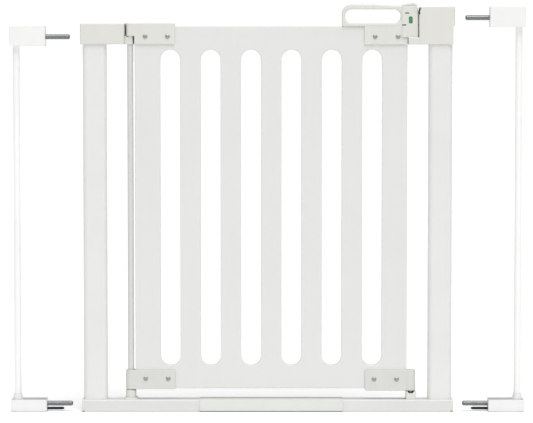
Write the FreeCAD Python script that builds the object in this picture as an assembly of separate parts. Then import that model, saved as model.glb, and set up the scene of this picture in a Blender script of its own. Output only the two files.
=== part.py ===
"""Pressure-fit safety gate: steel frame, lift-and-swing leaf, thumb-slide latch, two plug-in extensions.

Millimetres, +Z up, the front faces -Y.  The origin is on the floor under the middle of the gate.
Each sub-part function returns one shape, and main() writes one STEP file for each.
"""
import FreeCAD, Part
import math
import os

V = FreeCAD.Vector

# ---- frame ------------------------------------------------------------------------------------
BAR_HALF = 357.5          # half length of the steel bottom bar
BAR_DEPTH = 36.0
BAR_HEIGHT = 24.0
BAR_WALL = 1.8
BAR_RADIUS = 3.5
BAR_PEG_RADIUS = 4.05     # pegs under the hinge bush and the keeper, in holes of the bar
BAR_PEG_DEPTH = 4.5
BAR_PEG_ROOM = 0.5
PLUG_FLANGE = 4.5         # plastic plug standing out of each bar end
PLUG_SPIGOT = 22.0
PLUG_EDGE = 1.2

POST_INNER = 312.5        # |x| of the posts' faces towards the opening
POST_OUTER = 359.0
POST_DEPTH = 27.0
POST_RADIUS = 9.5
POST_WALL = 1.6
POST_TOP = 716.5

CAP_HALF_DEPTH = 17.0
CAP_EDGE = 1.5
CAP_ROOF = 6.0            # from the post's top to the top of the hinge cap's hollow
CAP_OUTER = 363.3         # |x| of the faces that the extensions butt against
HINGE_CAP_INNER = -277.6
HINGE_CAP_TOP = 756.5
SPIGOT_LENGTH = 26.0
SPIGOT_INSET = 3.0        # from the post's inner face to the hollow in the spigot
TOP_SOCKET_END = 315.5    # |x| where the sockets of the hinge cap and the housing end
HOUSING_INNER = 293.5
HOUSING_TOP = 789.0
HOUSING_FLANGE_FOOT = 751.7
HOUSING_LEDGE_INNER = 272.9
HOUSING_LEDGE_TOP = 729.5
# the rubber seal in the V: its fork as (x, z), and its bead as (x, y, z)
SEAL_OUTLINE = [(292.5, 787.4), (293.6, 787.4), (294.1, 782.2), (296.4, 787.7), (297.6, 787.2),
                (294.8, 780.4), (294.8, 776.5), (293.8, 776.5), (292.9, 780.6)]
SEAL_CORNER = 0.2
SEAL_FRONT = -17.3
SEAL_BACK = -14.0
SEAL_BEAD = (294.3, -15.9, 776.1)
SEAL_BEAD_RADIUS = 1.8

COVER_HALF = 139.5        # half length of the threshold cover
COVER_CENTRE = 7.0
COVER_HALF_DEPTH = 21.0
COVER_WALL = 0.8
COVER_LEAN = 1.6          # how far its sides lean in at the top

# ---- hinge line -------------------------------------------------------------------------------
HINGE_X = -267.0
ROD_RADIUS = 6.0
PIVOT_RADIUS = 4.0
TONGUE_TOP = 731.2
TONGUE_NOSE = 7.9
TONGUE_EMBEDDED = 8.0
BUSH_RADIUS = 10.2
BUSH_TOP = 42.0
BUSH_FOOT_HALF = 13.5
BUSH_FOOT_HALF_DEPTH = 14.0
BUSH_FOOT_HEIGHT = 3.0
PIVOT_EMBEDDED = 28.0     # length of the pivot pin inside the rod
BARREL_RADIUS = 10.0
BARREL_ARM = 10.0         # how far the barrel's arm reaches past the bracket's edge
SLEEVE_RADIUS = 7.0
SLEEVE_FLANGE = 1.5
SLEEVE_FLANGE_RADIUS = 8.1
RUNNING_GAP = 0.06        # radial clearance of the turning fits
SEAT_GAP = 0.05           # radial clearance of pieces that are pushed together

# ---- leaf -------------------------------------------------------------------------------------
LEAF_LEFT = -258.1
LEAF_RIGHT = 271.6
LEAF_FOOT = 44.9
LEAF_TOP = 751.4
LEAF_HALF_DEPTH = 7.0
SLOT_COUNT = 6
SLOT_WIDTH = 38.0
SLOT_PITCH = 78.5
SLOT_FOOT = 90.5
SLOT_TOP = 705.9
SLOT_SHIFT = 0.3          # the row of slots stands this far to the right of the leaf's middle
BOARD_CORNER = 3.0
BOARD_EDGE = 1.8

PLATE = 3.0               # thickness of the plates on the leaf's two faces
BRACKET_HALF_DEPTH = LEAF_HALF_DEPTH + PLATE
HINGE_BRACKET_LEFT = -258.6
HINGE_BRACKET_RIGHT = -180.0
TOP_BRACKET_FOOT = 716.6
TOP_BRACKET_STEP = TONGUE_TOP + SLEEVE_FLANGE - 0.1
TOP_BRACKET_TOP = 757.2
PIVOT_TOP = TOP_BRACKET_TOP - 5.4
TOP_BORE_END = TOP_BRACKET_TOP - 2.6
LOW_BRACKET_FOOT = BUSH_TOP + SLEEVE_FLANGE + 0.2
LOW_BRACKET_TOP = 81.4
CATCH_BRACKET_LEFT = 190.0
CATCH_BRACKET_FOOT = 40.6
CATCH_BRACKET_TOP = 81.7
CATCH_X = 279.8           # axis of the drop pin and its barrel
CATCH_RADIUS = 9.0
CATCH_BORE_END = CATCH_BRACKET_TOP - 12.0

DROP_PIN_RADIUS = 5.0
DROP_PIN_FOOT = 30.4
KEEPER_LEFT = 269.7
KEEPER_RIGHT = 289.6
KEEPER_TOP = 39.8
KEEPER_HALF_DEPTH = 13.5
KEEPER_SCOOP_RADIUS = 8.0
KEEPER_SCOOP_RISE = 3.6
KEEPER_FUNNEL = 4.0       # height of the cone that leads the pin in
SEAT_RADIUS = DROP_PIN_RADIUS + 0.8
SEAT_DROP = 1.4           # room under the pin

SCREW_PLACES = [(-237.5, 731.5), (-194.3, 731.5), (-238.0, 64.4), (-194.3, 64.4),
                (208.0, 63.2), (252.0, 63.2), (208.5, 731.3), (253.1, 731.3)]
SCREW_HEAD_RADIUS = 4.7
SCREW_HEAD_HEIGHT = 2.2
SCREW_RIM = 0.5           # height of a head's straight rim, under its dome
HEX_RADIUS = 2.2
HEX_DEPTH = 1.4
HEX_TURN = 20             # degrees
SHANK_RADIUS = 2.5
NUT_HEAD_RADIUS = 5.0
NUT_ROOF = 1.5
NUT_SLEEVE_RADIUS = 3.9
NUT_SLEEVE_START = 2.0    # y at which the rear nuts' sleeves begin

# ---- latch ------------------------------------------------------------------------------------
LATCH_PLATE_LEFT = 187.8
LATCH_PLATE_RIGHT = 272.4
LATCH_PLATE_FOOT = 716.0
LOOP_LEFT = 144.3
LOOP_FOOT = 750.7
LOOP_TOP = 793.4
LOOP_HALF_DEPTH = 10.5
GRIP_LEFT = 150.5         # the finger opening inside the loop
GRIP_RIGHT = 258.6
GRIP_FOOT = 757.4
GRIP_TOP = 784.0
BODY_LEFT = 246.0         # where the loop's sloping top edge has come down to the case
BODY_RIGHT = 292.0
BODY_FOOT = 730.5
BODY_TOP = 791.0
BODY_HALF_DEPTH = 12.5
BODY_RAMP = 3.4           # width of the slope from the loop's face to the case's
BODY_WALL = 1.8
HALF_SEAM = 0.05          # each cover stops this far from the mid plane
NOTCH_WIDTH = 3.0
NOTCH_DROP = 9.0
WINDOW = (273.6, 281.0, 756.8, 770.4)
WINDOW_CORNER = 2.4
HIGH_GUIDE_SLOT = (266.3, 274.3, 776.0, 778.0)
LOW_GUIDE_SLOT = (260.9, 268.9, 752.9, 754.9)
GUIDE_CORNER = 0.9

BOLT_LEFT = 272.5
BOLT_RIGHT = 302.0
BOLT_FOOT = 753.0
BOLT_TOP = 773.0
BOLT_HALF_DEPTH = 10.1
BOLT_STROKE = 10.0
LIFT = 12.0
BOLT_MID_Z = (BOLT_FOOT + BOLT_TOP) / 2
BORE_END = BOLT_RIGHT - 6.0
POCKET_ROOM = 0.8         # room above and below the bolt in its pocket
FLAG_SPLIT = 281.9        # the locked flag is left of this, the open flag right of it
FLAG_LEFT = 273.1
OPEN_FLAG_LEFT = 282.9
OPEN_FLAG_RIGHT = 291.2
FLAG_FOOT = 755.5
FLAG_TOP = 771.5
FLAG_DEPTH = 0.8
SLIDE_LEFT = 261.5
SLIDE_RIGHT = 290.4
SLIDE_CREST_LEFT = 280.4
SLIDE_CREST_RIGHT = 283.4
SLIDE_TOP = 796.4
SLIDE_HALF_DEPTH = 9.5
NECK_LEFT = 274.2
NECK_RIGHT = 283.8
NECK_HALF_DEPTH = 3.9
SOCKET_LEFT = 275.0       # square hole in the bolt that the neck's peg is pressed into
SOCKET_RIGHT = 283.0
SOCKET_HALF_DEPTH = 3.0
SOCKET_DROP = 3.5
SPRING_RADIUS = 3.6
SPRING_WIRE = 0.45
SPRING_BORE = 4.8

# ---- extensions -------------------------------------------------------------------------------
BOX_INNER = 431.0         # |x| of the extension boxes as they stand, pulled clear of the gate
BOX_OUTER = 500.5
LOW_BOX_HEIGHT = 24.0
TOP_BOX_HEIGHT = 39.3
TUBE_X = 488.3
TUBE_RADIUS = 6.75
COLLAR_RADIUS = 10.2
COLLAR_HEIGHT = 11.0
PEG_RADIUS = 4.75
PIN_RADIUS = 2.75
PEG_EMBEDDED = 24.0
TOP_PEG_LENGTH = 47.0
LOW_PEG_LENGTH = 50.0
PIN_LENGTH = 33.0
SOCKET_RADIUS = 5.1
PIN_SOCKET_RADIUS = 3.0
SPINDLE_BORE = 5.2        # outer bores for the wall spindles
SPINDLE_DEPTH = 30.0
LEFT_TOP_BOX_FOOT = 713.2
RIGHT_TOP_BOX_FOOT = 749.9
TUBE_WALL = 1.5
TUBE_EMBEDDED = 6.0       # length of the tube inside the top box
TUBE_FOOT = 22.5
COLLAR_LIP = 1.2          # the collar's wall at its thin end
PEG_TAPER = 2.2
PIN_TAPER = 4.0
TIP_SHARE = 0.62          # radius of a peg's tip, as a share of its own
LEFT_TOP_PEG_Z = 731.0
RIGHT_TOP_PEG_Z = 768.0
LOW_PEG_Z = 15.0
PIN_Z = 5.3

PAST = 1.0                # how far a shape that is cut away or fused on runs past the face that it meets


# ---- shape helpers ----------------------------------------------------------------------------
def block(x0, x1, y0, y1, z0, z1):
    return Part.makeBox(x1 - x0, y1 - y0, z1 - z0, V(x0, y0, z0))


def bar_x(x0, x1, y, z, radius):
    return Part.makeCylinder(radius, abs(x1 - x0), V(min(x0, x1), y, z), V(1, 0, 0))


def bar_y(x, y0, y1, z, radius):
    return Part.makeCylinder(radius, y1 - y0, V(x, y0, z), V(0, 1, 0))


def bar_z(x, y, z0, z1, radius):
    return Part.makeCylinder(radius, z1 - z0, V(x, y, z0))


def along(edge, axis):
    """True for a straight edge that runs along axis (0, 1 or 2)."""
    if len(edge.Vertexes) != 2 or not isinstance(edge.Curve, Part.Line):
        return False
    span = edge.Vertexes[1].Point - edge.Vertexes[0].Point
    return abs(abs(span[axis]) - span.Length) < 1e-6


def rounded(shape, radius, keep):
    """shape with a round on each edge that keep(edge) picks."""
    edges = [e for e in shape.Edges if keep(e)]
    return shape.makeFillet(radius, edges)


def in_plane(axis, value):
    """Picks edges that lie in the plane where coordinate axis equals value."""
    def test(edge):
        box = edge.BoundBox
        low = (box.XMin, box.YMin, box.ZMin)[axis]
        high = (box.XMax, box.YMax, box.ZMax)[axis]
        return abs(low - value) < 1e-4 and abs(high - value) < 1e-4
    return test


def soft_block(x0, x1, y0, y1, z0, z1, corner, edge, axis=2):
    """A block whose edges along axis have radius corner and whose two end rims have radius edge."""
    shape = rounded(block(x0, x1, y0, y1, z0, z1), corner, lambda e: along(e, axis))
    if not edge:
        return shape
    low, high = ((x0, x1), (y0, y1), (z0, z1))[axis]
    at_low, at_high = in_plane(axis, low), in_plane(axis, high)
    return rounded(shape, edge, lambda e: at_low(e) or at_high(e))


def outline(points, radii, y0, y1):
    """A prism along Y of the closed outline points, given as (x, z), with a radius at each corner."""
    count = len(points)
    corners = [V(x, y0, z) for x, z in points]
    starts, ends, edges = [], [], []
    for n in range(count):
        before = (corners[n] - corners[n - 1]).normalize()
        after = (corners[(n + 1) % count] - corners[n]).normalize()
        half_turn = before.getAngle(after) / 2
        reach = radii[n] * math.tan(half_turn)
        starts.append(corners[n] - before * reach)
        ends.append(corners[n] + after * reach)
        if radii[n]:
            inward = (after - before).normalize()
            middle = corners[n] + inward * radii[n] * (1 / math.cos(half_turn) - 1)
            edges.append(Part.Arc(starts[n], middle, ends[n]).toShape())
        else:
            edges.append(None)
    loop = []
    for n in range(count):
        if edges[n]:
            loop.append(edges[n])
        following = starts[(n + 1) % count]
        if (following - ends[n]).Length > 1e-6:
            loop.append(Part.makeLine(ends[n], following))
    return Part.Face(Part.Wire(loop)).extrude(V(0, y1 - y0, 0))


def plate_outline(x0, x1, z0, z1, y0, y1, radii):
    """A flat plate in XZ.  radii are its corners' radii: low left, low right, top right, top left."""
    return outline([(x0, z0), (x1, z0), (x1, z1), (x0, z1)], radii, y0, y1)


def solid(shape):
    """The one solid of a shape, with its flat faces merged."""
    clean = shape.removeSplitter()
    if len(clean.Solids) != 1:
        raise ValueError("expected one solid, found %d" % len(clean.Solids))
    return clean.Solids[0]


# ---- frame ------------------------------------------------------------------------------------
def bottom_bar():
    half = BAR_DEPTH / 2
    inner_radius = BAR_RADIUS - BAR_WALL
    outer = soft_block(-BAR_HALF, BAR_HALF, -half, half, 0, BAR_HEIGHT, BAR_RADIUS, 0, axis=0)
    inside = half - BAR_WALL
    hollow = soft_block(-BAR_HALF - PAST, BAR_HALF + PAST, -inside, inside, BAR_WALL,
                        BAR_HEIGHT - BAR_WALL, inner_radius, 0, axis=0)
    hole_foot = BAR_HEIGHT - BAR_PEG_DEPTH - BAR_PEG_ROOM
    bush_hole = bar_z(HINGE_X, 0, hole_foot, BAR_HEIGHT + PAST, BAR_PEG_RADIUS + SEAT_GAP)
    keeper_hole = bar_z(CATCH_X, 0, hole_foot, BAR_HEIGHT + PAST, BAR_PEG_RADIUS + SEAT_GAP)
    return solid(outer.cut(hollow).cut(bush_hole).cut(keeper_hole))


def post(side):
    x0, x1 = sorted((side * POST_INNER, side * POST_OUTER))
    half = POST_DEPTH / 2
    outer = soft_block(x0, x1, -half, half, BAR_HEIGHT, POST_TOP, POST_RADIUS, 0)
    hollow = soft_block(x0 + POST_WALL, x1 - POST_WALL, -half + POST_WALL, half - POST_WALL,
                        BAR_HEIGHT - PAST, POST_TOP + PAST, POST_RADIUS - POST_WALL, 0)
    return solid(outer.cut(hollow))


def post_spigot(side, top):
    """The hollow plug of a cap that is pushed down inside a post."""
    gap = POST_WALL + SEAT_GAP
    x0, x1 = sorted((side * POST_INNER, side * POST_OUTER))
    half = POST_DEPTH / 2
    return soft_block(x0 + gap, x1 - gap, -half + gap, half - gap, POST_TOP - SPIGOT_LENGTH, top,
                      POST_RADIUS - gap, 0)


def spigot_hollow(side, top):
    gap = POST_WALL + SPIGOT_INSET
    x0, x1 = sorted((side * POST_INNER, side * POST_OUTER))
    half = POST_DEPTH / 2
    return soft_block(x0 + gap, x1 - gap, -half + gap, half - gap, POST_TOP - SPIGOT_LENGTH - PAST, top,
                      POST_RADIUS - gap, 0)


def bar_plug(side):
    half = BAR_DEPTH / 2
    face = BAR_HALF + PLUG_FLANGE
    flange = soft_block(BAR_HALF, face, -half, half, 0, BAR_HEIGHT, BAR_RADIUS, 0, axis=0)
    flange = rounded(flange, PLUG_EDGE, in_plane(0, face))
    gap = BAR_WALL + SEAT_GAP
    spigot = soft_block(BAR_HALF - PLUG_SPIGOT, BAR_HALF + PAST, -half + gap, half - gap, gap,
                        BAR_HEIGHT - gap, BAR_RADIUS - gap, 0, axis=0)
    plug = flange.fuse(spigot)
    plug = plug.cut(bar_x(BAR_HALF - PLUG_SPIGOT - PAST, face + PAST, 0, LOW_PEG_Z, SOCKET_RADIUS))
    plug = plug.cut(bar_x(BAR_HALF - PLUG_SPIGOT - PAST, face + PAST, 0, PIN_Z, PIN_SOCKET_RADIUS))
    if side < 0:
        plug = plug.mirror(V(0, 0, 0), V(1, 0, 0))
    return solid(plug)


def hinge_cap():
    depth = CAP_HALF_DEPTH
    body = soft_block(-CAP_OUTER, HINGE_CAP_INNER, -depth, depth, POST_TOP, HINGE_CAP_TOP, 4.0, CAP_EDGE)
    tongue = block(HINGE_CAP_INNER - TONGUE_EMBEDDED, HINGE_X, -TONGUE_NOSE, TONGUE_NOSE, POST_TOP,
                   TONGUE_TOP)
    nose = bar_z(HINGE_X, 0, POST_TOP, TONGUE_TOP, TONGUE_NOSE)
    cap = body.fuse(tongue).fuse(nose).fuse(post_spigot(-1, POST_TOP + PAST))
    cap = cap.cut(spigot_hollow(-1, POST_TOP + CAP_ROOF))
    cap = cap.cut(bar_z(HINGE_X, 0, POST_TOP - PAST, TONGUE_TOP + PAST, PIVOT_RADIUS + SEAT_GAP))
    cap = cap.cut(bar_x(-CAP_OUTER - PAST, -TOP_SOCKET_END, 0, LEFT_TOP_PEG_Z, SOCKET_RADIUS))
    return solid(cap)


def latch_housing():
    depth = CAP_HALF_DEPTH
    body = soft_block(HOUSING_INNER, POST_OUTER + PAST, -depth, depth, POST_TOP - 0.5, HOUSING_TOP, 3.0,
                      CAP_EDGE)
    flange = soft_block(POST_OUTER - 20, CAP_OUTER - 0.2, -depth, depth, HOUSING_FLANGE_FOOT, HOUSING_TOP,
                        4.0, CAP_EDGE)
    ledge = soft_block(HOUSING_LEDGE_INNER, HOUSING_INNER + 8, -depth + PAST, depth - PAST, POST_TOP - 0.5,
                       HOUSING_LEDGE_TOP, 2.0, 1.0)
    housing = body.fuse(flange).fuse(ledge)
    housing = housing.cut(block(POST_INNER - PAST, POST_OUTER + 2, -depth - PAST, depth + PAST,
                                POST_TOP - 2, POST_TOP))
    housing = housing.fuse(post_spigot(1, POST_TOP + PAST))
    housing = housing.cut(spigot_hollow(1, BOLT_FOOT - 6))
    pocket = soft_block(HOUSING_INNER - PAST, BOLT_RIGHT + 2, -BOLT_HALF_DEPTH - 0.6, BOLT_HALF_DEPTH + 0.6,
                        BOLT_FOOT - POCKET_ROOM, BOLT_TOP + LIFT + POCKET_ROOM, 2.0, 0, axis=0)
    housing = housing.cut(pocket)
    housing = housing.cut(bar_x(TOP_SOCKET_END, CAP_OUTER + PAST, 0, RIGHT_TOP_PEG_Z, SOCKET_RADIUS))
    notch = seam_notch(HOUSING_INNER, 1, HOUSING_TOP)
    return solid(housing.cut(notch))


def seam_notch(face, side, top):
    """A wedge cut off a top corner, so that case and housing part in a V."""
    depth = CAP_HALF_DEPTH + 2
    points = [(face - side, top + PAST), (face - side, top - NOTCH_DROP), (face, top - NOTCH_DROP),
              (face + side * NOTCH_WIDTH, top + PAST)]
    return outline(points, [0] * 4, -depth, depth)


def seam_seal():
    """A forked rubber seal at the front of the V between case and housing, with a bead at its foot."""
    fork = outline(SEAL_OUTLINE, [SEAL_CORNER] * len(SEAL_OUTLINE), SEAL_FRONT, SEAL_BACK)
    bead = Part.makeSphere(SEAL_BEAD_RADIUS, V(*SEAL_BEAD))
    return solid(fork.fuse(bead).cut(latch_housing()))


def hinge_rod():
    foot = BAR_HEIGHT + BUSH_FOOT_HEIGHT
    tube = bar_z(HINGE_X, 0, foot, POST_TOP, ROD_RADIUS)
    return solid(tube.cut(bar_z(HINGE_X, 0, foot - PAST, POST_TOP + PAST, PIVOT_RADIUS + SEAT_GAP)))


def pivot_pin():
    pin = bar_z(HINGE_X, 0, POST_TOP - PIVOT_EMBEDDED, PIVOT_TOP, PIVOT_RADIUS)
    return solid(rounded(pin, 1.0, in_plane(2, PIVOT_TOP)))


def lower_hinge_bush():
    bush = bar_z(HINGE_X, 0, BAR_HEIGHT, BUSH_TOP, BUSH_RADIUS)
    bush = rounded(bush, 1.0, in_plane(2, BUSH_TOP))
    foot_top = BAR_HEIGHT + BUSH_FOOT_HEIGHT
    foot = soft_block(HINGE_X - BUSH_FOOT_HALF, HINGE_X + BUSH_FOOT_HALF, -BUSH_FOOT_HALF_DEPTH,
                      BUSH_FOOT_HALF_DEPTH, BAR_HEIGHT, foot_top, 5.0, 0)
    bush = bush.fuse(rounded(foot, 1.2, in_plane(2, foot_top)))
    bush = bush.fuse(bar_z(HINGE_X, 0, BAR_HEIGHT - BAR_PEG_DEPTH, BAR_HEIGHT + PAST, BAR_PEG_RADIUS))
    return solid(bush.cut(bar_z(HINGE_X, 0, foot_top, BUSH_TOP + PAST, ROD_RADIUS + SEAT_GAP)))


def bottom_keeper():
    """The seat that the drop pin stands in, closed in front and behind, with a scooped top."""
    depth = KEEPER_HALF_DEPTH
    keeper = soft_block(KEEPER_LEFT, KEEPER_RIGHT, -depth, depth, BAR_HEIGHT, KEEPER_TOP, 3.0, 0)
    keeper = rounded(keeper, 1.0, in_plane(2, KEEPER_TOP))
    scoop = bar_y(CATCH_X, -depth - PAST, depth + PAST, KEEPER_TOP + KEEPER_SCOOP_RISE, KEEPER_SCOOP_RADIUS)
    seat = bar_z(CATCH_X, 0, DROP_PIN_FOOT - SEAT_DROP, KEEPER_TOP + PAST, SEAT_RADIUS)
    lead_in = Part.makeCone(SEAT_RADIUS, CATCH_RADIUS, KEEPER_FUNNEL, V(CATCH_X, 0, KEEPER_TOP - 5.8))
    keeper = keeper.cut(scoop).cut(seat).cut(lead_in)
    return solid(keeper.fuse(bar_z(CATCH_X, 0, BAR_HEIGHT - BAR_PEG_DEPTH, BAR_HEIGHT + PAST,
                                   BAR_PEG_RADIUS)))


def threshold_cover():
    """A thin moulding that snaps over the bar, where people step."""
    x0, x1 = COVER_CENTRE - COVER_HALF, COVER_CENTRE + COVER_HALF
    half = BAR_DEPTH / 2
    outer = soft_block(x0, x1, -COVER_HALF_DEPTH, COVER_HALF_DEPTH, 0, BAR_HEIGHT + COVER_WALL, 3.0, 0,
                       axis=0)
    trims = []
    for side in (-1, 1):
        profile = [V(x0 - PAST, side * (COVER_HALF_DEPTH - COVER_LEAN), BAR_HEIGHT + 2),
                   V(x0 - PAST, side * (COVER_HALF_DEPTH + PAST), BAR_HEIGHT + 2),
                   V(x0 - PAST, side * (COVER_HALF_DEPTH + PAST), 0), V(x0 - PAST,
                                                                        side * COVER_HALF_DEPTH, 3.0)]
        profile.append(profile[0])
        trims.append(Part.Face(Part.makePolygon(profile)).extrude(V(x1 - x0 + 2, 0, 0)))
    channel = soft_block(x0 - PAST, x1 + PAST, -half - SEAT_GAP, half + SEAT_GAP, -10,
                         BAR_HEIGHT + SEAT_GAP,
                         BAR_RADIUS, 0, axis=0)
    shape = outer.cut(trims[0]).cut(trims[1]).cut(channel)
    return solid(shape)


# ---- leaf -------------------------------------------------------------------------------------
def slot_centres():
    middle = (LEAF_LEFT + LEAF_RIGHT) / 2 + SLOT_SHIFT
    return [middle + (n - (SLOT_COUNT - 1) / 2) * SLOT_PITCH for n in range(SLOT_COUNT)]


def panel():
    half = LEAF_HALF_DEPTH
    board = soft_block(LEAF_LEFT, LEAF_RIGHT, -half, half, LEAF_FOOT, LEAF_TOP, BOARD_CORNER, 0, axis=1)
    for x in slot_centres():
        radius = SLOT_WIDTH / 2
        cut = plate_outline(x - radius, x + radius, SLOT_FOOT, SLOT_TOP, -half - PAST, half + PAST,
                            [radius] * 4)
        board = board.cut(cut)
    front, back = in_plane(1, -half), in_plane(1, half)
    board = rounded(board, BOARD_EDGE, lambda e: front(e) or back(e))
    for x, z in SCREW_PLACES:
        board = board.cut(bar_y(x, -half - PAST, half + PAST, z, SHANK_RADIUS + SEAT_GAP))
        board = board.cut(bar_y(x, NUT_SLEEVE_START, half + PAST, z, NUT_SLEEVE_RADIUS + SEAT_GAP))
    return solid(board)


def screw_holes(shape, places):
    depth = BRACKET_HALF_DEPTH + PAST
    for x, z in places:
        shape = shape.cut(bar_y(x, -depth, 0, z, SHANK_RADIUS + SEAT_GAP))
        shape = shape.cut(bar_y(x, 0, depth, z, NUT_SLEEVE_RADIUS + SEAT_GAP))
    return shape


def leaf_space():
    """The board's own space, which the mouldings around it leave free."""
    half = LEAF_HALF_DEPTH
    return block(LEAF_LEFT, LEAF_RIGHT + 0.1, -half, half, LEAF_FOOT, LEAF_TOP + 0.1)


def hinge_bracket(foot, top, barrel_foot, bore_top):
    """A moulded channel on a corner of the board, with the barrel that turns on the hinge line."""
    depth = BRACKET_HALF_DEPTH
    channel = soft_block(HINGE_BRACKET_LEFT, HINGE_BRACKET_RIGHT, -depth, depth, foot, top, 2.0, 1.0,
                         axis=1)
    barrel = bar_z(HINGE_X, 0, barrel_foot, top, BARREL_RADIUS)
    barrel = rounded(barrel, 1.0, in_plane(2, top))
    arm = soft_block(HINGE_X, HINGE_BRACKET_LEFT + BARREL_ARM, -depth, depth, barrel_foot, top, 1.0, 0,
                     axis=0)
    shape = channel.fuse(barrel).fuse(arm).cut(leaf_space())
    shape = shape.cut(bar_z(HINGE_X, 0, barrel_foot - PAST, bore_top, SLEEVE_RADIUS + RUNNING_GAP))
    return shape


def top_hinge_bracket():
    shape = hinge_bracket(TOP_BRACKET_FOOT, TOP_BRACKET_TOP, TOP_BRACKET_STEP, TOP_BORE_END)
    return solid(screw_holes(shape, SCREW_PLACES[0:2]))


def bottom_hinge_bracket():
    shape = hinge_bracket(LOW_BRACKET_FOOT, LOW_BRACKET_TOP, LOW_BRACKET_FOOT, LOW_BRACKET_TOP + PAST)
    return solid(screw_holes(shape, SCREW_PLACES[2:4]))


def bottom_latch_bracket():
    depth = BRACKET_HALF_DEPTH
    channel = soft_block(CATCH_BRACKET_LEFT, LEAF_RIGHT + PAST, -depth, depth, CATCH_BRACKET_FOOT,
                         CATCH_BRACKET_TOP, 3.0, 1.0, axis=1)
    barrel = bar_z(CATCH_X, 0, CATCH_BRACKET_FOOT, CATCH_BRACKET_TOP, CATCH_RADIUS)
    barrel = rounded(barrel, 1.6, in_plane(2, CATCH_BRACKET_TOP))
    arm = soft_block(LEAF_RIGHT - 4, CATCH_X, -CATCH_RADIUS, CATCH_RADIUS, CATCH_BRACKET_FOOT,
                     CATCH_BRACKET_TOP, 1.0, 0, axis=0)
    shape = channel.fuse(barrel).fuse(arm).cut(leaf_space())
    shape = shape.cut(bar_z(CATCH_X, 0, CATCH_BRACKET_FOOT - PAST, CATCH_BORE_END,
                            DROP_PIN_RADIUS + SEAT_GAP))
    return solid(screw_holes(shape, SCREW_PLACES[4:6]))


def drop_pin():
    pin = bar_z(CATCH_X, 0, DROP_PIN_FOOT, CATCH_BORE_END, DROP_PIN_RADIUS)
    return solid(rounded(pin, 3.2, in_plane(2, DROP_PIN_FOOT)))


def hinge_sleeve(foot, top, bore):
    sleeve = bar_z(HINGE_X, 0, foot, top, SLEEVE_RADIUS)
    flange = bar_z(HINGE_X, 0, foot, foot + SLEEVE_FLANGE - 0.3, SLEEVE_FLANGE_RADIUS)
    return solid(sleeve.fuse(flange).cut(bar_z(HINGE_X, 0, foot - PAST, top + PAST, bore)))


def lower_hinge_sleeve():
    return hinge_sleeve(BUSH_TOP + 0.1, LOW_BRACKET_TOP - 0.6, ROD_RADIUS + RUNNING_GAP)


def upper_hinge_sleeve():
    return hinge_sleeve(TONGUE_TOP + 0.1, TOP_BRACKET_TOP - 3.4, PIVOT_RADIUS + RUNNING_GAP)


def dome_head(x, z, side, radius):
    """A screw's or nut's head on the front (-1) or rear (+1) face: a short rim under a dome."""
    face = side * BRACKET_HALF_DEPTH
    rise = SCREW_HEAD_HEIGHT - SCREW_RIM
    ball_radius = (radius ** 2 + rise ** 2) / (2 * rise)
    y0, y1 = sorted((face, face + side * SCREW_HEAD_HEIGHT))
    ball = Part.makeSphere(ball_radius, V(x, face + side * (SCREW_HEAD_HEIGHT - ball_radius), z))
    return bar_y(x, y0, y1, z, radius).common(ball)


def panel_screws():
    """Dome-head screws with a hexagon socket, one solid each."""
    screws = []
    front = -BRACKET_HALF_DEPTH
    for x, z in SCREW_PLACES:
        shank = bar_y(x, front - 0.5, BRACKET_HALF_DEPTH - 2.5, z, SHANK_RADIUS)
        head = dome_head(x, z, -1, SCREW_HEAD_RADIUS)
        turns = [math.radians(60 * n + HEX_TURN) for n in range(7)]
        corners = [V(x + HEX_RADIUS * math.cos(turn), front - SCREW_HEAD_HEIGHT - PAST,
                     z + HEX_RADIUS * math.sin(turn)) for turn in turns]
        socket = Part.Face(Part.makePolygon(corners)).extrude(V(0, HEX_DEPTH + PAST, 0))
        screws.append(solid(head.fuse(shank).cut(socket)))
    return Part.makeCompound(screws)


def panel_nuts():
    """Dome-head sleeve nuts on the rear face, one solid each."""
    nuts = []
    back = BRACKET_HALF_DEPTH
    for x, z in SCREW_PLACES:
        sleeve = bar_y(x, NUT_SLEEVE_START + 0.3, back + 0.5, z, NUT_SLEEVE_RADIUS)
        head = dome_head(x, z, 1, NUT_HEAD_RADIUS)
        bore = bar_y(x, 0, back - NUT_ROOF, z, SHANK_RADIUS + SEAT_GAP)
        nuts.append(solid(head.fuse(sleeve).cut(bore)))
    return Part.makeCompound(nuts)


# ---- latch ------------------------------------------------------------------------------------
def latch_shell():
    """Both covers as one outer form: screwed plates, carrying loop and bolt case."""
    depth = BRACKET_HALF_DEPTH
    plates = soft_block(LATCH_PLATE_LEFT, LATCH_PLATE_RIGHT, -depth, depth, LATCH_PLATE_FOOT,
                        LOOP_FOOT + 6, 2.0, 1.0, axis=1)
    half = LOOP_HALF_DEPTH
    # the top edge slopes down to the case, so that the thumb slide clears it
    loop = outline([(LOOP_LEFT, LOOP_FOOT), (BODY_LEFT + 20, LOOP_FOOT), (BODY_LEFT + 20, BODY_TOP - 0.2),
                    (BODY_LEFT + 4, BODY_TOP - 0.2), (BODY_LEFT - 40, LOOP_TOP), (LOOP_LEFT, LOOP_TOP)],
                   [5, 3, 0, 0, 0, 18], -half, half)
    grip = plate_outline(GRIP_LEFT, GRIP_RIGHT, GRIP_FOOT, GRIP_TOP, -BODY_HALF_DEPTH - PAST,
                         BODY_HALF_DEPTH + PAST, [12, 13, 13, 12])
    loop = loop.cut(grip)
    front, back = in_plane(1, -half), in_plane(1, half)
    loop = rounded(loop, 2.6, lambda e: front(e) or back(e))
    return plates.fuse(loop).fuse(latch_case().cut(grip))


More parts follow.
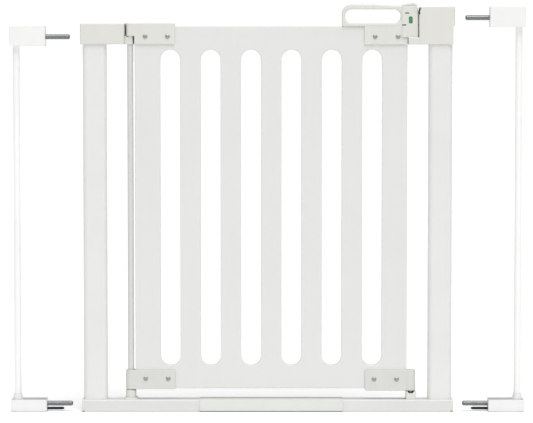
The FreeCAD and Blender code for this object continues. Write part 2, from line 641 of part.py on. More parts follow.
def latch_case():
    """The bolt case, which slopes down to the loop's faces on its left."""
    low, high, ramp_end = LOOP_HALF_DEPTH - 0.5, BODY_HALF_DEPTH, GRIP_RIGHT + BODY_RAMP
    corners = [(GRIP_RIGHT, -low), (ramp_end, -high), (BODY_RIGHT, -high), (BODY_RIGHT, high),
               (ramp_end, high), (GRIP_RIGHT, low)]
    profile = [V(x, y, BODY_FOOT) for x, y in corners]
    profile.append(profile[0])
    case = Part.Face(Part.makePolygon(profile)).extrude(V(0, 0, BODY_TOP - BODY_FOOT))
    case = rounded(case, 2.0, lambda e: along(e, 2) and e.BoundBox.XMin > BODY_RIGHT - 1)
    return rounded(case, 1.6, in_plane(2, BODY_TOP))


def latch_cavity():
    """The hollow inside the case, the slots for the bolt and the thumb slide, and the board's space."""
    inside = BODY_HALF_DEPTH - BODY_WALL
    chamber = block(GRIP_RIGHT + 2.2, BODY_RIGHT - BODY_WALL, -inside, inside, BOLT_FOOT - 0.5,
                    BODY_TOP - 3.4)
    foot = block(LEAF_RIGHT + 2, BODY_RIGHT - BODY_WALL, -inside, inside, BODY_FOOT + BODY_WALL, BOLT_FOOT)
    mouth = block(BODY_RIGHT - 5, BODY_RIGHT + PAST, -inside + 0.2, inside - 0.2, BOLT_FOOT - 0.4,
                  BOLT_TOP + 0.4)
    slide_slot = block(NECK_LEFT - BOLT_STROKE - 0.7, NECK_RIGHT + 0.7, -NECK_HALF_DEPTH - 0.5,
                       NECK_HALF_DEPTH + 0.5, BODY_TOP - 6, BODY_TOP + 4)
    return chamber.fuse(foot).fuse(mouth).fuse(slide_slot).fuse(leaf_space())


def latch_cover(side):
    """The front (-1) or rear (+1) cover of the latch."""
    depth = BODY_HALF_DEPTH + 2
    y0, y1 = sorted((side * HALF_SEAM, side * depth))
    half_space = block(LOOP_LEFT - 5, BODY_RIGHT + 5, y0, y1, LATCH_PLATE_FOOT - 5, LOOP_TOP + 5)
    shape = latch_shell().cut(latch_cavity()).common(half_space)
    shape = screw_holes(shape, SCREW_PLACES[6:8])
    return shape.cut(seam_notch(BODY_RIGHT, -1, BODY_TOP))


def window_outline(y0, y1, gap):
    x0, x1, z0, z1 = WINDOW
    return plate_outline(x0 + gap, x1 - gap, z0 + gap, z1 - gap, y0, y1, [WINDOW_CORNER - gap] * 4)


def guide_slots():
    """Two short slots in the front cover, above and below the slide."""
    depth = BODY_HALF_DEPTH
    across = (-depth - PAST, -depth + BODY_WALL + PAST, [GUIDE_CORNER] * 4)
    high = plate_outline(*HIGH_GUIDE_SLOT, *across)
    low = plate_outline(*LOW_GUIDE_SLOT, *across)
    return high.fuse(low)


def latch_front_cover():
    depth = BODY_HALF_DEPTH
    shape = latch_cover(-1).cut(window_outline(-depth - PAST, -depth + BODY_WALL + PAST, 0))
    return solid(shape.cut(guide_slots()))


def latch_rear_cover():
    return solid(latch_cover(1))


def indicator_window():
    depth = BODY_HALF_DEPTH
    return solid(window_outline(-depth + 0.5, -depth + BODY_WALL - 0.1, SEAT_GAP))


def latch_bolt():
    depth = BOLT_HALF_DEPTH
    bolt = soft_block(BOLT_LEFT, BOLT_RIGHT, -depth, depth, BOLT_FOOT, BOLT_TOP, 1.5, 0, axis=0)
    bolt = rounded(bolt, 1.2, in_plane(0, BOLT_RIGHT))
    bolt = bolt.cut(bar_x(BOLT_LEFT - PAST, BORE_END, 0, BOLT_MID_Z, SPRING_BORE))
    bolt = bolt.cut(flag_outline(FLAG_LEFT, FLAG_SPLIT, 0)).cut(flag_outline(OPEN_FLAG_LEFT,
                                                                             OPEN_FLAG_RIGHT, 0))
    socket = block(SOCKET_LEFT, SOCKET_RIGHT, -SOCKET_HALF_DEPTH, SOCKET_HALF_DEPTH, BOLT_TOP - SOCKET_DROP,
                   BOLT_TOP + PAST)
    return solid(bolt.cut(socket))


def flag_outline(x0, x1, gap):
    depth = BOLT_HALF_DEPTH
    return block(x0 + gap, x1 - gap, -depth - 1 + gap, -depth + FLAG_DEPTH - gap,
                 FLAG_FOOT + gap, FLAG_TOP - gap)


def flag(x0, x1):
    depth = BOLT_HALF_DEPTH
    plate = flag_outline(x0, x1, SEAT_GAP)
    return solid(plate.common(block(x0, x1, -depth, 0, BOLT_FOOT, BOLT_TOP)))


def thumb_slide():
    """The ramped thumb piece on top of the case, on a neck that is pressed into the bolt."""
    half = SLIDE_HALF_DEPTH
    foot = BODY_TOP + 0.3
    profile = [V(SLIDE_LEFT, -half, foot), V(SLIDE_RIGHT, -half, foot), V(SLIDE_RIGHT, -half, foot + 1.0),
               V(SLIDE_CREST_RIGHT, -half, SLIDE_TOP), V(SLIDE_CREST_LEFT, -half, SLIDE_TOP),
               V(SLIDE_LEFT, -half, foot + 1.3), V(SLIDE_LEFT, -half, foot)]
    ramp = Part.Face(Part.makePolygon(profile)).extrude(V(0, 2 * half, 0))
    ramp = rounded(ramp, 1.6, lambda e: along(e, 1) and e.BoundBox.ZMin > SLIDE_TOP - 0.5)
    neck = block(NECK_LEFT, NECK_RIGHT, -NECK_HALF_DEPTH, NECK_HALF_DEPTH, BOLT_TOP + 0.1, foot + 0.5)
    peg_half = SOCKET_HALF_DEPTH - SEAT_GAP
    peg = block(SOCKET_LEFT + SEAT_GAP, SOCKET_RIGHT - SEAT_GAP, -peg_half, peg_half,
                BOLT_TOP - SOCKET_DROP + 0.1, BOLT_TOP + PAST)
    return solid(ramp.fuse(neck).fuse(peg))


def bolt_spring():
    """The space of the return spring's coils, from the case's left wall to the end of the bolt's bore."""
    start, end = GRIP_RIGHT + 2.8, BORE_END - 0.6
    z = BOLT_MID_Z
    coils = bar_x(start, end, 0, z, SPRING_RADIUS + SPRING_WIRE)
    return solid(coils.cut(bar_x(start - PAST, end + PAST, 0, z, SPRING_RADIUS - SPRING_WIRE)))


# ---- extensions -------------------------------------------------------------------------------
def top_box_foot(side):
    return LEFT_TOP_BOX_FOOT if side < 0 else RIGHT_TOP_BOX_FOOT


def top_peg_z(side):
    return LEFT_TOP_PEG_Z if side < 0 else RIGHT_TOP_PEG_Z


def on_side(shape, side):
    """Shapes are drawn on the right, and mirrored to the left."""
    return shape if side > 0 else shape.mirror(V(0, 0, 0), V(1, 0, 0))


def extension_box(side, foot, height, depth, peg_z):
    box = soft_block(BOX_INNER, BOX_OUTER, -depth, depth, foot, foot + height, 2.0, 1.0)
    box = box.cut(bar_x(BOX_INNER - PAST, BOX_INNER + PEG_EMBEDDED, 0, peg_z, PEG_RADIUS + SEAT_GAP))
    box = box.cut(bar_x(BOX_OUTER - SPINDLE_DEPTH, BOX_OUTER + PAST, 0, peg_z, SPINDLE_BORE))
    return box


def extension_low_box(side):
    box = extension_box(side, 0, LOW_BOX_HEIGHT, BAR_DEPTH / 2, LOW_PEG_Z)
    collar = Part.makeCone(COLLAR_RADIUS, TUBE_RADIUS + COLLAR_LIP, COLLAR_HEIGHT, V(TUBE_X, 0,
                                                                                     LOW_BOX_HEIGHT - 0.5))
    box = box.fuse(collar)
    box = box.cut(bar_z(TUBE_X, 0, TUBE_FOOT, LOW_BOX_HEIGHT + COLLAR_HEIGHT + PAST,
                        TUBE_RADIUS + SEAT_GAP))
    box = box.cut(bar_x(BOX_INNER - PAST, BOX_INNER + PEG_EMBEDDED / 2, 0, PIN_Z, PIN_RADIUS + SEAT_GAP))
    return solid(on_side(box, side))


def extension_top_box(side):
    foot = top_box_foot(side)
    box = extension_box(side, foot, TOP_BOX_HEIGHT, CAP_HALF_DEPTH, top_peg_z(side))
    box = box.cut(bar_z(TUBE_X, 0, foot - PAST, foot + TUBE_EMBEDDED, TUBE_RADIUS + SEAT_GAP))
    return solid(on_side(box, side))


def extension_tube(side):
    foot, top = TUBE_FOOT, top_box_foot(side) + TUBE_EMBEDDED
    tube = bar_z(TUBE_X, 0, foot, top, TUBE_RADIUS)
    return solid(on_side(tube.cut(bar_z(TUBE_X, 0, foot - PAST, top + PAST, TUBE_RADIUS - TUBE_WALL)),
                         side))


def peg(side, z, length, radius, embedded, taper):
    """A steel peg that stands out of a box towards the gate, with a tapered tip."""
    tip = BOX_INNER - length
    shaft = bar_x(tip + taper, BOX_INNER + embedded, 0, z, radius)
    end = Part.makeCone(radius * TIP_SHARE, radius, taper, V(tip, 0, z), V(1, 0, 0))
    return solid(on_side(shaft.fuse(end), side))


def extension(side):
    name = "left" if side < 0 else "right"
    return {
        name + "_extension_tube": extension_tube(side),
        name + "_extension_top_box": extension_top_box(side),
        name + "_extension_bottom_box": extension_low_box(side),
        name + "_extension_top_peg": peg(side, top_peg_z(side), TOP_PEG_LENGTH, PEG_RADIUS,
                                         PEG_EMBEDDED - 0.5, PEG_TAPER),
        name + "_extension_bottom_peg": peg(side, LOW_PEG_Z, LOW_PEG_LENGTH, PEG_RADIUS,
                                            PEG_EMBEDDED - 0.5, PEG_TAPER),
        name + "_extension_locating_pin": peg(side, PIN_Z, PIN_LENGTH, PIN_RADIUS,
                                              PEG_EMBEDDED / 2 - 0.5, PIN_TAPER),
    }


def main():
    parts = {
        "bottom_bar": bottom_bar(),
        "left_post": post(-1),
        "right_post": post(1),
        "left_bar_plug": bar_plug(-1),
        "right_bar_plug": bar_plug(1),
        "hinge_cap": hinge_cap(),
        "latch_housing": latch_housing(),
        "seam_seal": seam_seal(),
        "hinge_rod": hinge_rod(),
        "upper_pivot_pin": pivot_pin(),
        "lower_hinge_bush": lower_hinge_bush(),
        "bottom_keeper": bottom_keeper(),
        "threshold_cover": threshold_cover(),
        "lower_hinge_sleeve": lower_hinge_sleeve(),
        "upper_hinge_sleeve": upper_hinge_sleeve(),
        "panel": panel(),
        "top_hinge_bracket": top_hinge_bracket(),
        "bottom_hinge_bracket": bottom_hinge_bracket(),
        "bottom_latch_bracket": bottom_latch_bracket(),
        "drop_pin": drop_pin(),
        "panel_screws": panel_screws(),
        "panel_nuts": panel_nuts(),
        "latch_front_cover": latch_front_cover(),
        "latch_rear_cover": latch_rear_cover(),
        "indicator_window": indicator_window(),
        "latch_bolt": latch_bolt(),
        "thumb_slide": thumb_slide(),
        "locked_flag": flag(FLAG_LEFT, FLAG_SPLIT),
        "open_flag": flag(OPEN_FLAG_LEFT, OPEN_FLAG_RIGHT),
        "bolt_spring": bolt_spring(),
    }
    parts.update(extension(-1))
    parts.update(extension(1))
    os.makedirs("parts", exist_ok=True)
    for name, shape in parts.items():
        shape.exportStep("parts/" + name + ".step")
        print("%-32s %10.1f mm3  solids %d  valid %s"
              % (name, shape.Volume, len(shape.Solids), shape.isValid()))


main()
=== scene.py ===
"""The look of a white walk-through safety gate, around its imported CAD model.  Metres, +Z up."""
import bpy
import bmesh
import math
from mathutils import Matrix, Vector


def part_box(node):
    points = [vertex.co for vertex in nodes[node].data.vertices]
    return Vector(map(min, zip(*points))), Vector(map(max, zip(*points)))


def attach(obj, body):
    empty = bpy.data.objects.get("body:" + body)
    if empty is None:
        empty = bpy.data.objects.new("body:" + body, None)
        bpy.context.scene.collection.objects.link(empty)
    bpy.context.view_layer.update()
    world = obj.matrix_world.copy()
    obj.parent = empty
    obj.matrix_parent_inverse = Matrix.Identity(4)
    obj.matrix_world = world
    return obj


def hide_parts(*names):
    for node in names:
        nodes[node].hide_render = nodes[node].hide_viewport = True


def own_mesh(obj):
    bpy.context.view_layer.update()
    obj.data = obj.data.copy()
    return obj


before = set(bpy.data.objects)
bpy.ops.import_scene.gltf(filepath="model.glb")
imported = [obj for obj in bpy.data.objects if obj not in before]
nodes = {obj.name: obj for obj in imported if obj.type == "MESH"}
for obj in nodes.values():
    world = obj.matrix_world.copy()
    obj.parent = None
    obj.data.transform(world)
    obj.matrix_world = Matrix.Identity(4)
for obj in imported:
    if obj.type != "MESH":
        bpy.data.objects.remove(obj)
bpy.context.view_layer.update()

MM = 0.001

# ---- camera, light and floor --------------------------------------------------------------------
CAMERA_PLACE = Vector((-2.1, -5500, 745)) * MM
CAMERA_AIM = Vector((-2.1, 0, 391)) * MM
LENS = 190.9              # mm
SENSOR = 36.0             # mm across
HORIZON_LIGHT = 1.02      # a thin white band all round, which the floor runs into
FRONT_LIGHT = 0.735       # the sky towards -Y
BACK_LIGHT = 0.50         # the sky towards +Y
SIDE_SHARE = 0.45         # what is left of them towards +X and -X
# Where each starts to change over and where it is done, by a direction's Y, X and Z:
FRONT_FADE = (-0.9, 0.3)      # front light to back light
SIDE_FADE = (0.45, 0.95)      # to the sides' share, either way
HORIZON_FADE = (0.04, 0.09)   # out of the band, up and down
SUN_LIGHT = 1.9
SUN_ANGLE = 40            # degrees across, which makes its shadows soft
SUN_FROM = Vector((0.12, -0.45, 1.0))
FLOOR_HALF = 60.0
FLOOR_DROP = 0.2 * MM     # below the gate's feet, so that the two don't share a plane
FLOOR_COLOUR = (0.82, 0.82, 0.82, 1)
FLOOR_GLOW = 0.25         # a light table: it keeps the far floor as white as the horizon

# ---- colours ------------------------------------------------------------------------------------
POWDER_WHITE = (0.715, 0.715, 0.702)
# The bar and the hinge rod wear the posts' powder coat, made darker as painted shade:
BAR_SHADED_WHITE = (0.648, 0.648, 0.636)
ROD_SHADED_WHITE = (0.617, 0.619, 0.607)
# The extension tubes wear the same powder coat, made lighter as painted light:
TUBE_LIT_WHITE = (0.870, 0.870, 0.855)
MOULDING_WHITE = (0.662, 0.666, 0.618)
# The bottom brackets' moulding, made darker as painted shade:
LOW_MOULDING_SHADED_WHITE = (0.610, 0.616, 0.586)
COVER_WHITE = (0.658, 0.674, 0.637)
BOX_WHITE = (0.803, 0.803, 0.793)
LOW_BOX_WHITE = (0.780, 0.780, 0.775)
# The upward faces of the bottom boxes: painted shade where little light falls on them:
TOP_SHADE_GREY = (0.430, 0.430, 0.426)
BOARD_WHITE = (0.695, 0.695, 0.681)
NYLON_WHITE = (0.80, 0.80, 0.76)
STEEL_GREY = (0.20, 0.21, 0.21)
SCREW_GREY = (0.42, 0.43, 0.43)
PIN_BLACK = (0.035, 0.040, 0.040)
FLAG_GREEN = (0.0, 0.27, 0.055)
FLAG_RED = (0.55, 0.02, 0.02)
WINDOW_TINT = (0.92, 0.96, 0.94)
# The seam seal: a black piece in the latch seam, standing in for the shade there:
SEAM_SHADE_BLACK = (0.02, 0.02, 0.022)

# ---- shading ------------------------------------------------------------------------------------
BEVEL_SAMPLES = 6
OCCLUSION_SAMPLES = 8
EDGE_FADE = (0.72, 0.99)      # cosine between rounded and true normal, from full edge to flat face
# Painted shade in narrow gaps and cavities, found by ambient occlusion:
CREVICE_REACH = 25 * MM
CREVICE_FADE = (0.12, 0.55)   # share of open sky, from deep gap to open face
CREVICE_SHADE_SHARE = 0.10          # what is left of a colour deep in a gap, as painted shade
TOP_SHADE_FADE = (0.80, 0.95)       # Z of a normal, from a side's colour to the painted shade of an upward face
POWDER_EDGE_SHADE = 0.93            # what is left of a colour on an edge of powder coat, as painted shade
BOARD_LINED = 0.965           # what is left of a colour along the board's grain
# variation of the painted top shade along the flow marks
TOP_SHADE_CHANGE = 0.08
WINDOW_ALPHA = 0.04
FLAG_SPECULAR = 0.25


# ---- node helpers -------------------------------------------------------------------------------
def add(tree, kind, settings=None, **inputs):
    """A new shader node.  Inputs are values or other nodes' sockets; _ in a name is a space."""
    made = tree.nodes.new(kind)
    for key, value in (settings or {}).items():
        setattr(made, key, value)
    for key, value in inputs.items():
        fill(tree, made.inputs[key.replace("_", " ")], value)
    return made


def fill(tree, socket, value):
    """Links a socket to another node's socket, or gives it a plain value."""
    if isinstance(value, bpy.types.NodeSocket):
        tree.links.new(value, socket)
    else:
        socket.default_value = value


def start_material(name):
    """A material with its Principled shader, and the piece's own coordinates in metres."""
    material = bpy.data.materials.new(name)
    material.use_nodes = True
    tree = material.node_tree
    shader = tree.nodes["Principled BSDF"]
    place = add(tree, "ShaderNodeTexCoord").outputs["Object"]
    return material, tree, shader, place


def surface(tree, shader, colour, roughness, normal):
    """Fills a shader's three main inputs."""
    fill(tree, shader.inputs["Base Color"], colour)
    fill(tree, shader.inputs["Roughness"], roughness)
    fill(tree, shader.inputs["Normal"], normal)


def noise(tree, place, scale, stretch=(1, 1, 1), detail=2.0, roughness=0.5):
    """Noise from 0 to 1 with scale cells to the metre, times stretch along each axis."""
    vector = add(tree, "ShaderNodeMapping", Vector=place, Scale=stretch).outputs["Vector"]
    texture = add(tree, "ShaderNodeTexNoise", Vector=vector, Scale=scale, Detail=detail,
                  Roughness=roughness)
    return texture.outputs["Fac"]


def spread(tree, factor, low, high, start=0.3, end=0.7):
    """factor from start to end becomes low to high."""
    made = add(tree, "ShaderNodeMapRange", Value=factor)
    for key, value in (("From Min", start), ("From Max", end), ("To Min", low), ("To Max", high)):
        made.inputs[key].default_value = value
    return made.outputs["Result"]


def maths(tree, operation, *values):
    """The result of a Math node."""
    made = add(tree, "ShaderNodeMath", {"operation": operation})
    for socket, value in zip(made.inputs, values):
        fill(tree, socket, value)
    return made.outputs["Value"]


def scaled(colour, share):
    """colour times share, with alpha 1."""
    return [min(1, c * share) for c in colour] + [1]


def mixed(tree, factor, first, second):
    """first where factor is 0, second where it is 1."""
    made = add(tree, "ShaderNodeMix", {"data_type": "RGBA"})
    fill(tree, made.inputs["Factor"], factor)
    fill(tree, made.inputs["A"], first)
    fill(tree, made.inputs["B"], second)
    return made.outputs["Result"]


def tinted(tree, colour, factor, change):
    """colour, darker where factor is low and lighter where it is high, by the share change."""
    darker, lighter = scaled(colour, 1 - change), scaled(colour, 1 + change)
    return mixed(tree, spread(tree, factor, 0, 1), darker, lighter)


def edge_mask(tree, radius):
    """1 along edges and corners, 0 on flat faces."""
    soft = add(tree, "ShaderNodeBevel", {"samples": BEVEL_SAMPLES}, Radius=radius).outputs["Normal"]
    plain = add(tree, "ShaderNodeNewGeometry").outputs["Normal"]
    dot = add(tree, "ShaderNodeVectorMath", {"operation": "DOT_PRODUCT"})
    fill(tree, dot.inputs[0], soft)
    fill(tree, dot.inputs[1], plain)
    return spread(tree, dot.outputs["Value"], 1, 0, *EDGE_FADE)


def painted_crevice_shade(tree, colour, deep):
    """colour, turning to deep inside narrow gaps and cavities: painted shade where little light
    gets in.
    """
    occlusion = add(tree, "ShaderNodeAmbientOcclusion", {"samples": OCCLUSION_SAMPLES},
                    Distance=CREVICE_REACH)
    return mixed(tree, spread(tree, occlusion.outputs["AO"], 1, 0, *CREVICE_FADE), colour, deep)


def bumped(tree, layers, round_radius):
    """A normal from (height, strength, distance) layers, over edges rounded in shading."""
    bevel = add(tree, "ShaderNodeBevel", {"samples": BEVEL_SAMPLES}, Radius=round_radius)
    normal = bevel.outputs["Normal"]
    for height, strength, distance in layers:
        normal = add(tree, "ShaderNodeBump", Height=height, Strength=strength, Distance=distance,
                     Normal=normal).outputs["Normal"]
    return normal


# ---- materials ----------------------------------------------------------------------------------
def powder_coat(name, colour):
    """Satin powder coat on steel: fine orange peel over a slight waviness, and painted shade on its
    edges.
    """
    material, tree, shader, place = start_material(name)
    cloud = noise(tree, place, scale=9, detail=3)
    peel = noise(tree, place, scale=620, detail=1.5)
    wave = noise(tree, place, scale=70, detail=1)
    base = tinted(tree, colour, cloud, change=0.018)
    # darker on the edges: painted shade where the surface turns from the light
    skin = mixed(tree, edge_mask(tree, radius=0.6 * MM), base, scaled(colour, POWDER_EDGE_SHADE))
    layers = [(wave, 0.10, 1 * MM), (peel, 0.22, 0.10 * MM)]
    surface(tree, shader, skin, spread(tree, peel, low=0.34, high=0.46),
            bumped(tree, layers, round_radius=0.5 * MM))
    return material


def moulding(name, colour, gloss, edge=0.88, top_shade=None):
    """Moulded plastic with a spark-eroded grain and flow marks, and painted shade on its edges and
    in its gaps.

    gloss is its roughness.  edge is what is left of its colour on edges, a painted shade, and the
    last argument is the colour of faces that look up, a painted shade.
    """
    material, tree, shader, place = start_material(name)
    grain = noise(tree, place, scale=2600, detail=2)
    flow = noise(tree, place, scale=38, stretch=(1, 1, 0.35), detail=4, roughness=0.6)
    base = tinted(tree, colour, flow, change=0.016)
    # faces that look up turn to the top colour: painted shade
    if top_shade:
        normal = add(tree, "ShaderNodeNewGeometry").outputs["Normal"]
        upward = add(tree, "ShaderNodeSeparateXYZ", Vector=normal).outputs["Z"]
        top = tinted(tree, top_shade, flow, TOP_SHADE_CHANGE)
        base = mixed(tree, spread(tree, upward, 0, 1, *TOP_SHADE_FADE), base, top)
    # darker on the edges: painted shade where the surface turns from the light
    skin = mixed(tree, edge_mask(tree, radius=1.1 * MM), base, scaled(colour, edge))
    # painted shade in gaps and cavities
    surface(tree, shader, painted_crevice_shade(tree, skin, scaled(colour, CREVICE_SHADE_SHARE)),
            spread(tree, grain, low=gloss - 0.05, high=gloss + 0.07),
            bumped(tree, [(grain, 0.25, 0.05 * MM)], round_radius=0.5 * MM))
    return material


def painted_board(name, colour):
    """Board under satin paint: a roller's stipple, and the faint lengthwise grain beneath it."""
    material, tree, shader, place = start_material(name)
    stipple = noise(tree, place, scale=420, detail=2.5)
    grain = noise(tree, place, scale=260, stretch=(1, 1, 0.03), detail=3)
    cloud = noise(tree, place, scale=5, detail=2)
    base = tinted(tree, colour, cloud, change=0.014)
    lined = mixed(tree, spread(tree, grain, low=0, high=0.35), base, scaled(colour, BOARD_LINED))
    layers = [(grain, 0.12, 0.12 * MM), (stipple, 0.20, 0.10 * MM)]
    surface(tree, shader, lined, spread(tree, stipple, low=0.36, high=0.50),
            bumped(tree, layers, round_radius=0.8 * MM))
    return material


def turned_steel(name, colour, stretch, dull=0.0, rim_shade=1.0):
    """Zinc-plated steel with fine turning marks along stretch's long axis and a mottled plate.

    dull is added to its roughness, and the last argument is what is left of its colour on edges: a
    painted dark reflection.
    """
    material, tree, shader, place = start_material(name)
    rings = noise(tree, place, scale=900, stretch=stretch, detail=3)
    mottle = noise(tree, place, scale=240, detail=2)
    base = tinted(tree, colour, mottle, change=0.12)
    # darker on the edges by the last argument: a painted dark reflection
    skin = mixed(tree, edge_mask(tree, radius=0.7 * MM), base, scaled(colour, rim_shade))
    shader.inputs["Metallic"].default_value = 1.0
    surface(tree, shader, skin, spread(tree, rings, low=0.24 + dull, high=0.42 + dull),
            bumped(tree, [(rings, 0.35, 0.05 * MM)], round_radius=0.3 * MM))
    return material


def gloss_flag(name, colour):
    """A glossy coloured indicator with a slight moulding ripple."""
    material, tree, shader, place = start_material(name)
    ripple = noise(tree, place, scale=500, detail=1)
    surface(tree, shader, tinted(tree, colour, ripple, change=0.06),
            spread(tree, ripple, low=0.30, high=0.40),
            bumped(tree, [(ripple, 0.10, 0.05 * MM)], round_radius=0.3 * MM))
    shader.inputs["Specular IOR Level"].default_value = FLAG_SPECULAR
    return material


def clear_window(name, colour):
    """Thin clear plastic with fine scuffs, seen mainly by its reflections."""
    material, tree, shader, place = start_material(name)
    scuff = noise(tree, place, scale=1400, stretch=(1, 1, 0.15), detail=3)
    surface(tree, shader, tinted(tree, colour, scuff, change=0.02),
            spread(tree, scuff, low=0.04, high=0.14),
            bumped(tree, [(scuff, 0.08, 0.02 * MM)], round_radius=0.3 * MM))
    shader.inputs["Alpha"].default_value = WINDOW_ALPHA
    return material


def soft_rubber(name, colour):
    """Matt black rubber with a dusty, slightly pitted skin."""
    material, tree, shader, place = start_material(name)
    dust = noise(tree, place, scale=900, detail=3)
    surface(tree, shader, tinted(tree, colour, dust, change=0.35),
            spread(tree, dust, low=0.62, high=0.82),
            bumped(tree, [(dust, 0.20, 0.05 * MM)], round_radius=0.2 * MM))
    return material


def floor_material():
    """Matt white with a glow, and without the sheen that a glossy floor has at grazing angles."""
    material = bpy.data.materials.new("pale_floor")
    material.use_nodes = True
    tree = material.node_tree
    tree.nodes.remove(tree.nodes["Principled BSDF"])
    matt = add(tree, "ShaderNodeBsdfDiffuse", Color=FLOOR_COLOUR).outputs["BSDF"]
    glow = add(tree, "ShaderNodeEmission", Strength=FLOOR_GLOW).outputs["Emission"]
    both = add(tree, "ShaderNodeAddShader")
    fill(tree, both.inputs[0], matt)
    fill(tree, both.inputs[1], glow)
    fill(tree, tree.nodes["Material Output"].inputs["Surface"], both.outputs["Shader"])
    return material


ALONG_X = (1, 0.04, 0.04)
ALONG_Y = (0.04, 1, 0.04)
ALONG_Z = (0.04, 0.04, 1)
powder = powder_coat("satin_powder_coat", POWDER_WHITE)
shell = moulding("grained_moulding", MOULDING_WHITE, gloss=0.44)
# a darker copy of the moulding, as painted shade
low_shaded_shell = moulding("lower_moulding_shaded", LOW_MOULDING_SHADED_WHITE, gloss=0.44)
cover_shell = moulding("cover_moulding", COVER_WHITE, gloss=0.44)
# the extension boxes, with stronger painted shade on their edges
box_shell = moulding("bright_moulding", BOX_WHITE, gloss=0.40, edge=0.76)
# the bottom boxes, with painted shade on their tops
top_shaded_shell = moulding("top_shaded_moulding", LOW_BOX_WHITE, gloss=0.40, edge=0.76, top_shade=TOP_SHADE_GREY)
# darker copies of the posts' powder coat, as painted shade
bar_shaded_powder = powder_coat("satin_powder_coat_bar_shaded", BAR_SHADED_WHITE)
rod_shaded_powder = powder_coat("satin_powder_coat_rod_shaded", ROD_SHADED_WHITE)
# a lighter copy of the powder coat, as painted light
tube_lit_powder = powder_coat("satin_powder_coat_tube_lit", TUBE_LIT_WHITE)
# black for the seam seal, standing in for the shade in the seam
rubber = soft_rubber("black_rubber", SEAM_SHADE_BLACK)
nylon = moulding("natural_nylon", NYLON_WHITE, gloss=0.32)
board = painted_board("painted_board", BOARD_WHITE)
steel_x = turned_steel("zinc_steel_along_x", STEEL_GREY, ALONG_X, dull=0.06)
# dark edges on the screw heads: a painted dark reflection on their domes
screw_steel = turned_steel("zinc_screw_steel", SCREW_GREY, ALONG_Y, dull=0.20, rim_shade=0.16)
pin_steel = turned_steel("blackened_pin_steel", PIN_BLACK, ALONG_X, dull=0.10)
steel_z = turned_steel("zinc_steel_along_z", STEEL_GREY, ALONG_Z)

FINISH = {
    "left_post": powder, "right_post": powder,
    "bottom_bar": bar_shaded_powder, "hinge_rod": rod_shaded_powder,
    "left_extension_tube": tube_lit_powder, "right_extension_tube": tube_lit_powder,
    "bottom_hinge_bracket": low_shaded_shell, "bottom_latch_bracket": low_shaded_shell,
    "threshold_cover": cover_shell,
    "lower_hinge_sleeve": nylon, "upper_hinge_sleeve": nylon,
    # its black stands in for the shade in the latch seam
    "seam_seal": rubber,
    "panel": board,
    "upper_pivot_pin": steel_z, "drop_pin": steel_z,
    "panel_screws": screw_steel, "panel_nuts": screw_steel,
    "locked_flag": gloss_flag("green_flag", FLAG_GREEN),
    "open_flag": gloss_flag("red_flag", FLAG_RED),
    "indicator_window": clear_window("clear_window", WINDOW_TINT),
}


def finish_of(name):
    """The material of a CAD node."""
    if name in FINISH:
        return FINISH[name]
    if name.endswith("_locating_pin"):
        return pin_steel
    if name.endswith("_peg"):
        return steel_x
    if name.endswith("_bottom_box"):
        return top_shaded_shell
    if name.endswith("_box"):
        return box_shell
    return shell


def dress_nodes():
    """Gives every CAD node its material, and stops if FINISH names a node that isn't there."""
    strangers = sorted(set(FINISH) - set(nodes))
    if strangers:
        raise ValueError(f"FINISH names no such node: {strangers}")
    for name, piece in nodes.items():
        piece.data.materials.clear()
        piece.data.materials.append(finish_of(name))


# ---- made pieces --------------------------------------------------------------------------------
def mesh_piece(name, shape, material):
    """A named, smooth-shaded object of a bmesh."""
    mesh = bpy.data.meshes.new(name)
    shape.to_mesh(mesh)
    shape.free()
    piece = bpy.data.objects.new(name, mesh)
    bpy.context.scene.collection.objects.link(piece)
    mesh.materials.append(material)
    for face in mesh.polygons:
        face.use_smooth = True
    return piece


def swept_tube(path, radius, sides):
    """A capped round tube along the points of path."""
    shape = bmesh.new()
    rings = []
    for n, point in enumerate(path):
        ahead = path[min(n + 1, len(path) - 1)] - path[max(n - 1, 0)]
        turn = ahead.to_track_quat("X", "Z")
        ring = []
        for side in range(sides):
            angle = 2 * math.pi * side / sides
            offset = Vector((0, math.cos(angle), math.sin(angle))) * radius
            ring.append(shape.verts.new(point + turn @ offset))
        rings.append(ring)
    for first, second in zip(rings, rings[1:]):
        for side in range(sides):
            following = (side + 1) % sides
            shape.faces.new((first[side], first[following], second[following], second[side]))
    shape.faces.new(rings[0][::-1])
    shape.faces.new(rings[-1])
    bmesh.ops.recalc_face_normals(shape, faces=shape.faces)
    return shape


SPRING_TURNS = 8
SPRING_STEPS = 24         # points to a turn
SPRING_SIDES = 8          # of the wire
SPRING_WIRE = 0.45 * MM   # its radius


def return_spring():
    """The helix that pushes the bolt home, in the space that the frame keeps for it."""
    low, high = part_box("bolt_spring")
    radius = (high.z - low.z) / 2 - SPRING_WIRE
    start, length = low.x + SPRING_WIRE, high.x - low.x - 2 * SPRING_WIRE
    middle = (low + high) / 2
    count = SPRING_TURNS * SPRING_STEPS
    path = []
    for n in range(count + 1):
        angle = 2 * math.pi * n / SPRING_STEPS
        path.append(Vector((start + length * n / count, middle.y + radius * math.cos(angle),
                            middle.z + radius * math.sin(angle))))
    piece = mesh_piece("return_spring", swept_tube(path, SPRING_WIRE, SPRING_SIDES), steel_x)
    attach(piece, "leaf")
    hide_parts("bolt_spring")
    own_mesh(piece)


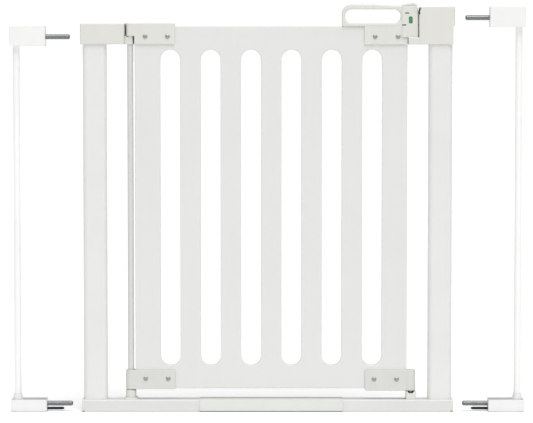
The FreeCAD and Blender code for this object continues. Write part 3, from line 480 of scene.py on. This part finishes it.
# ---- scene --------------------------------------------------------------------------------------
def make_floor():
    """A wide square floor just below the gate."""
    shape = bmesh.new()
    corners = [shape.verts.new((x * FLOOR_HALF, y * FLOOR_HALF, 0)) for x, y in
               ((-1, -1), (1, -1), (1, 1), (-1, 1))]
    shape.faces.new(corners)
    floor = mesh_piece("floor", shape, floor_material())
    floor.location.z = -FLOOR_DROP


def make_sky():
    """White light all round: strongest at the horizon, then in front, and weak at the sides."""
    world = bpy.data.worlds.new("studio")
    world.use_nodes = True
    tree = world.node_tree
    direction = add(tree, "ShaderNodeTexCoord").outputs["Generated"]
    split = add(tree, "ShaderNodeSeparateXYZ", Vector=direction)
    aside = maths(tree, "ABSOLUTE", split.outputs["X"])
    level = maths(tree, "ABSOLUTE", split.outputs["Z"])
    ahead = spread(tree, split.outputs["Y"], FRONT_LIGHT, BACK_LIGHT, *FRONT_FADE)
    share = spread(tree, aside, 1, SIDE_SHARE, *SIDE_FADE)
    band = spread(tree, level, 1, 0, *HORIZON_FADE)
    strength = add(tree, "ShaderNodeMix", {"data_type": "FLOAT"}, Factor=band,
                   A=maths(tree, "MULTIPLY", ahead, share), B=HORIZON_LIGHT)
    background = tree.nodes["Background"]
    background.inputs["Color"].default_value = (1, 1, 1, 1)
    fill(tree, background.inputs["Strength"], strength.outputs["Result"])
    bpy.context.scene.world = world


def make_sun():
    """A broad soft light from above the camera."""
    sun = bpy.data.lights.new("softbox", "SUN")
    sun.energy = SUN_LIGHT
    sun.angle = math.radians(SUN_ANGLE)
    lamp = bpy.data.objects.new("softbox", sun)
    lamp.rotation_mode = "QUATERNION"
    lamp.rotation_quaternion = (-SUN_FROM).to_track_quat("-Z", "Y")
    bpy.context.scene.collection.objects.link(lamp)


def make_camera():
    """The photo's view of the gate."""
    data = bpy.data.cameras.new("camera")
    data.lens = LENS
    data.sensor_width = SENSOR
    data.clip_end = 4 * FLOOR_HALF
    camera = bpy.data.objects.new("camera", data)
    camera.location = CAMERA_PLACE
    camera.rotation_mode = "QUATERNION"
    camera.rotation_quaternion = (CAMERA_AIM - CAMERA_PLACE).to_track_quat("-Z", "Y")
    bpy.context.scene.collection.objects.link(camera)
    bpy.context.scene.camera = camera


make_camera()
make_sky()
make_sun()
bpy.context.scene.view_settings.view_transform = "Standard"
make_floor()
dress_nodes()
return_spring()
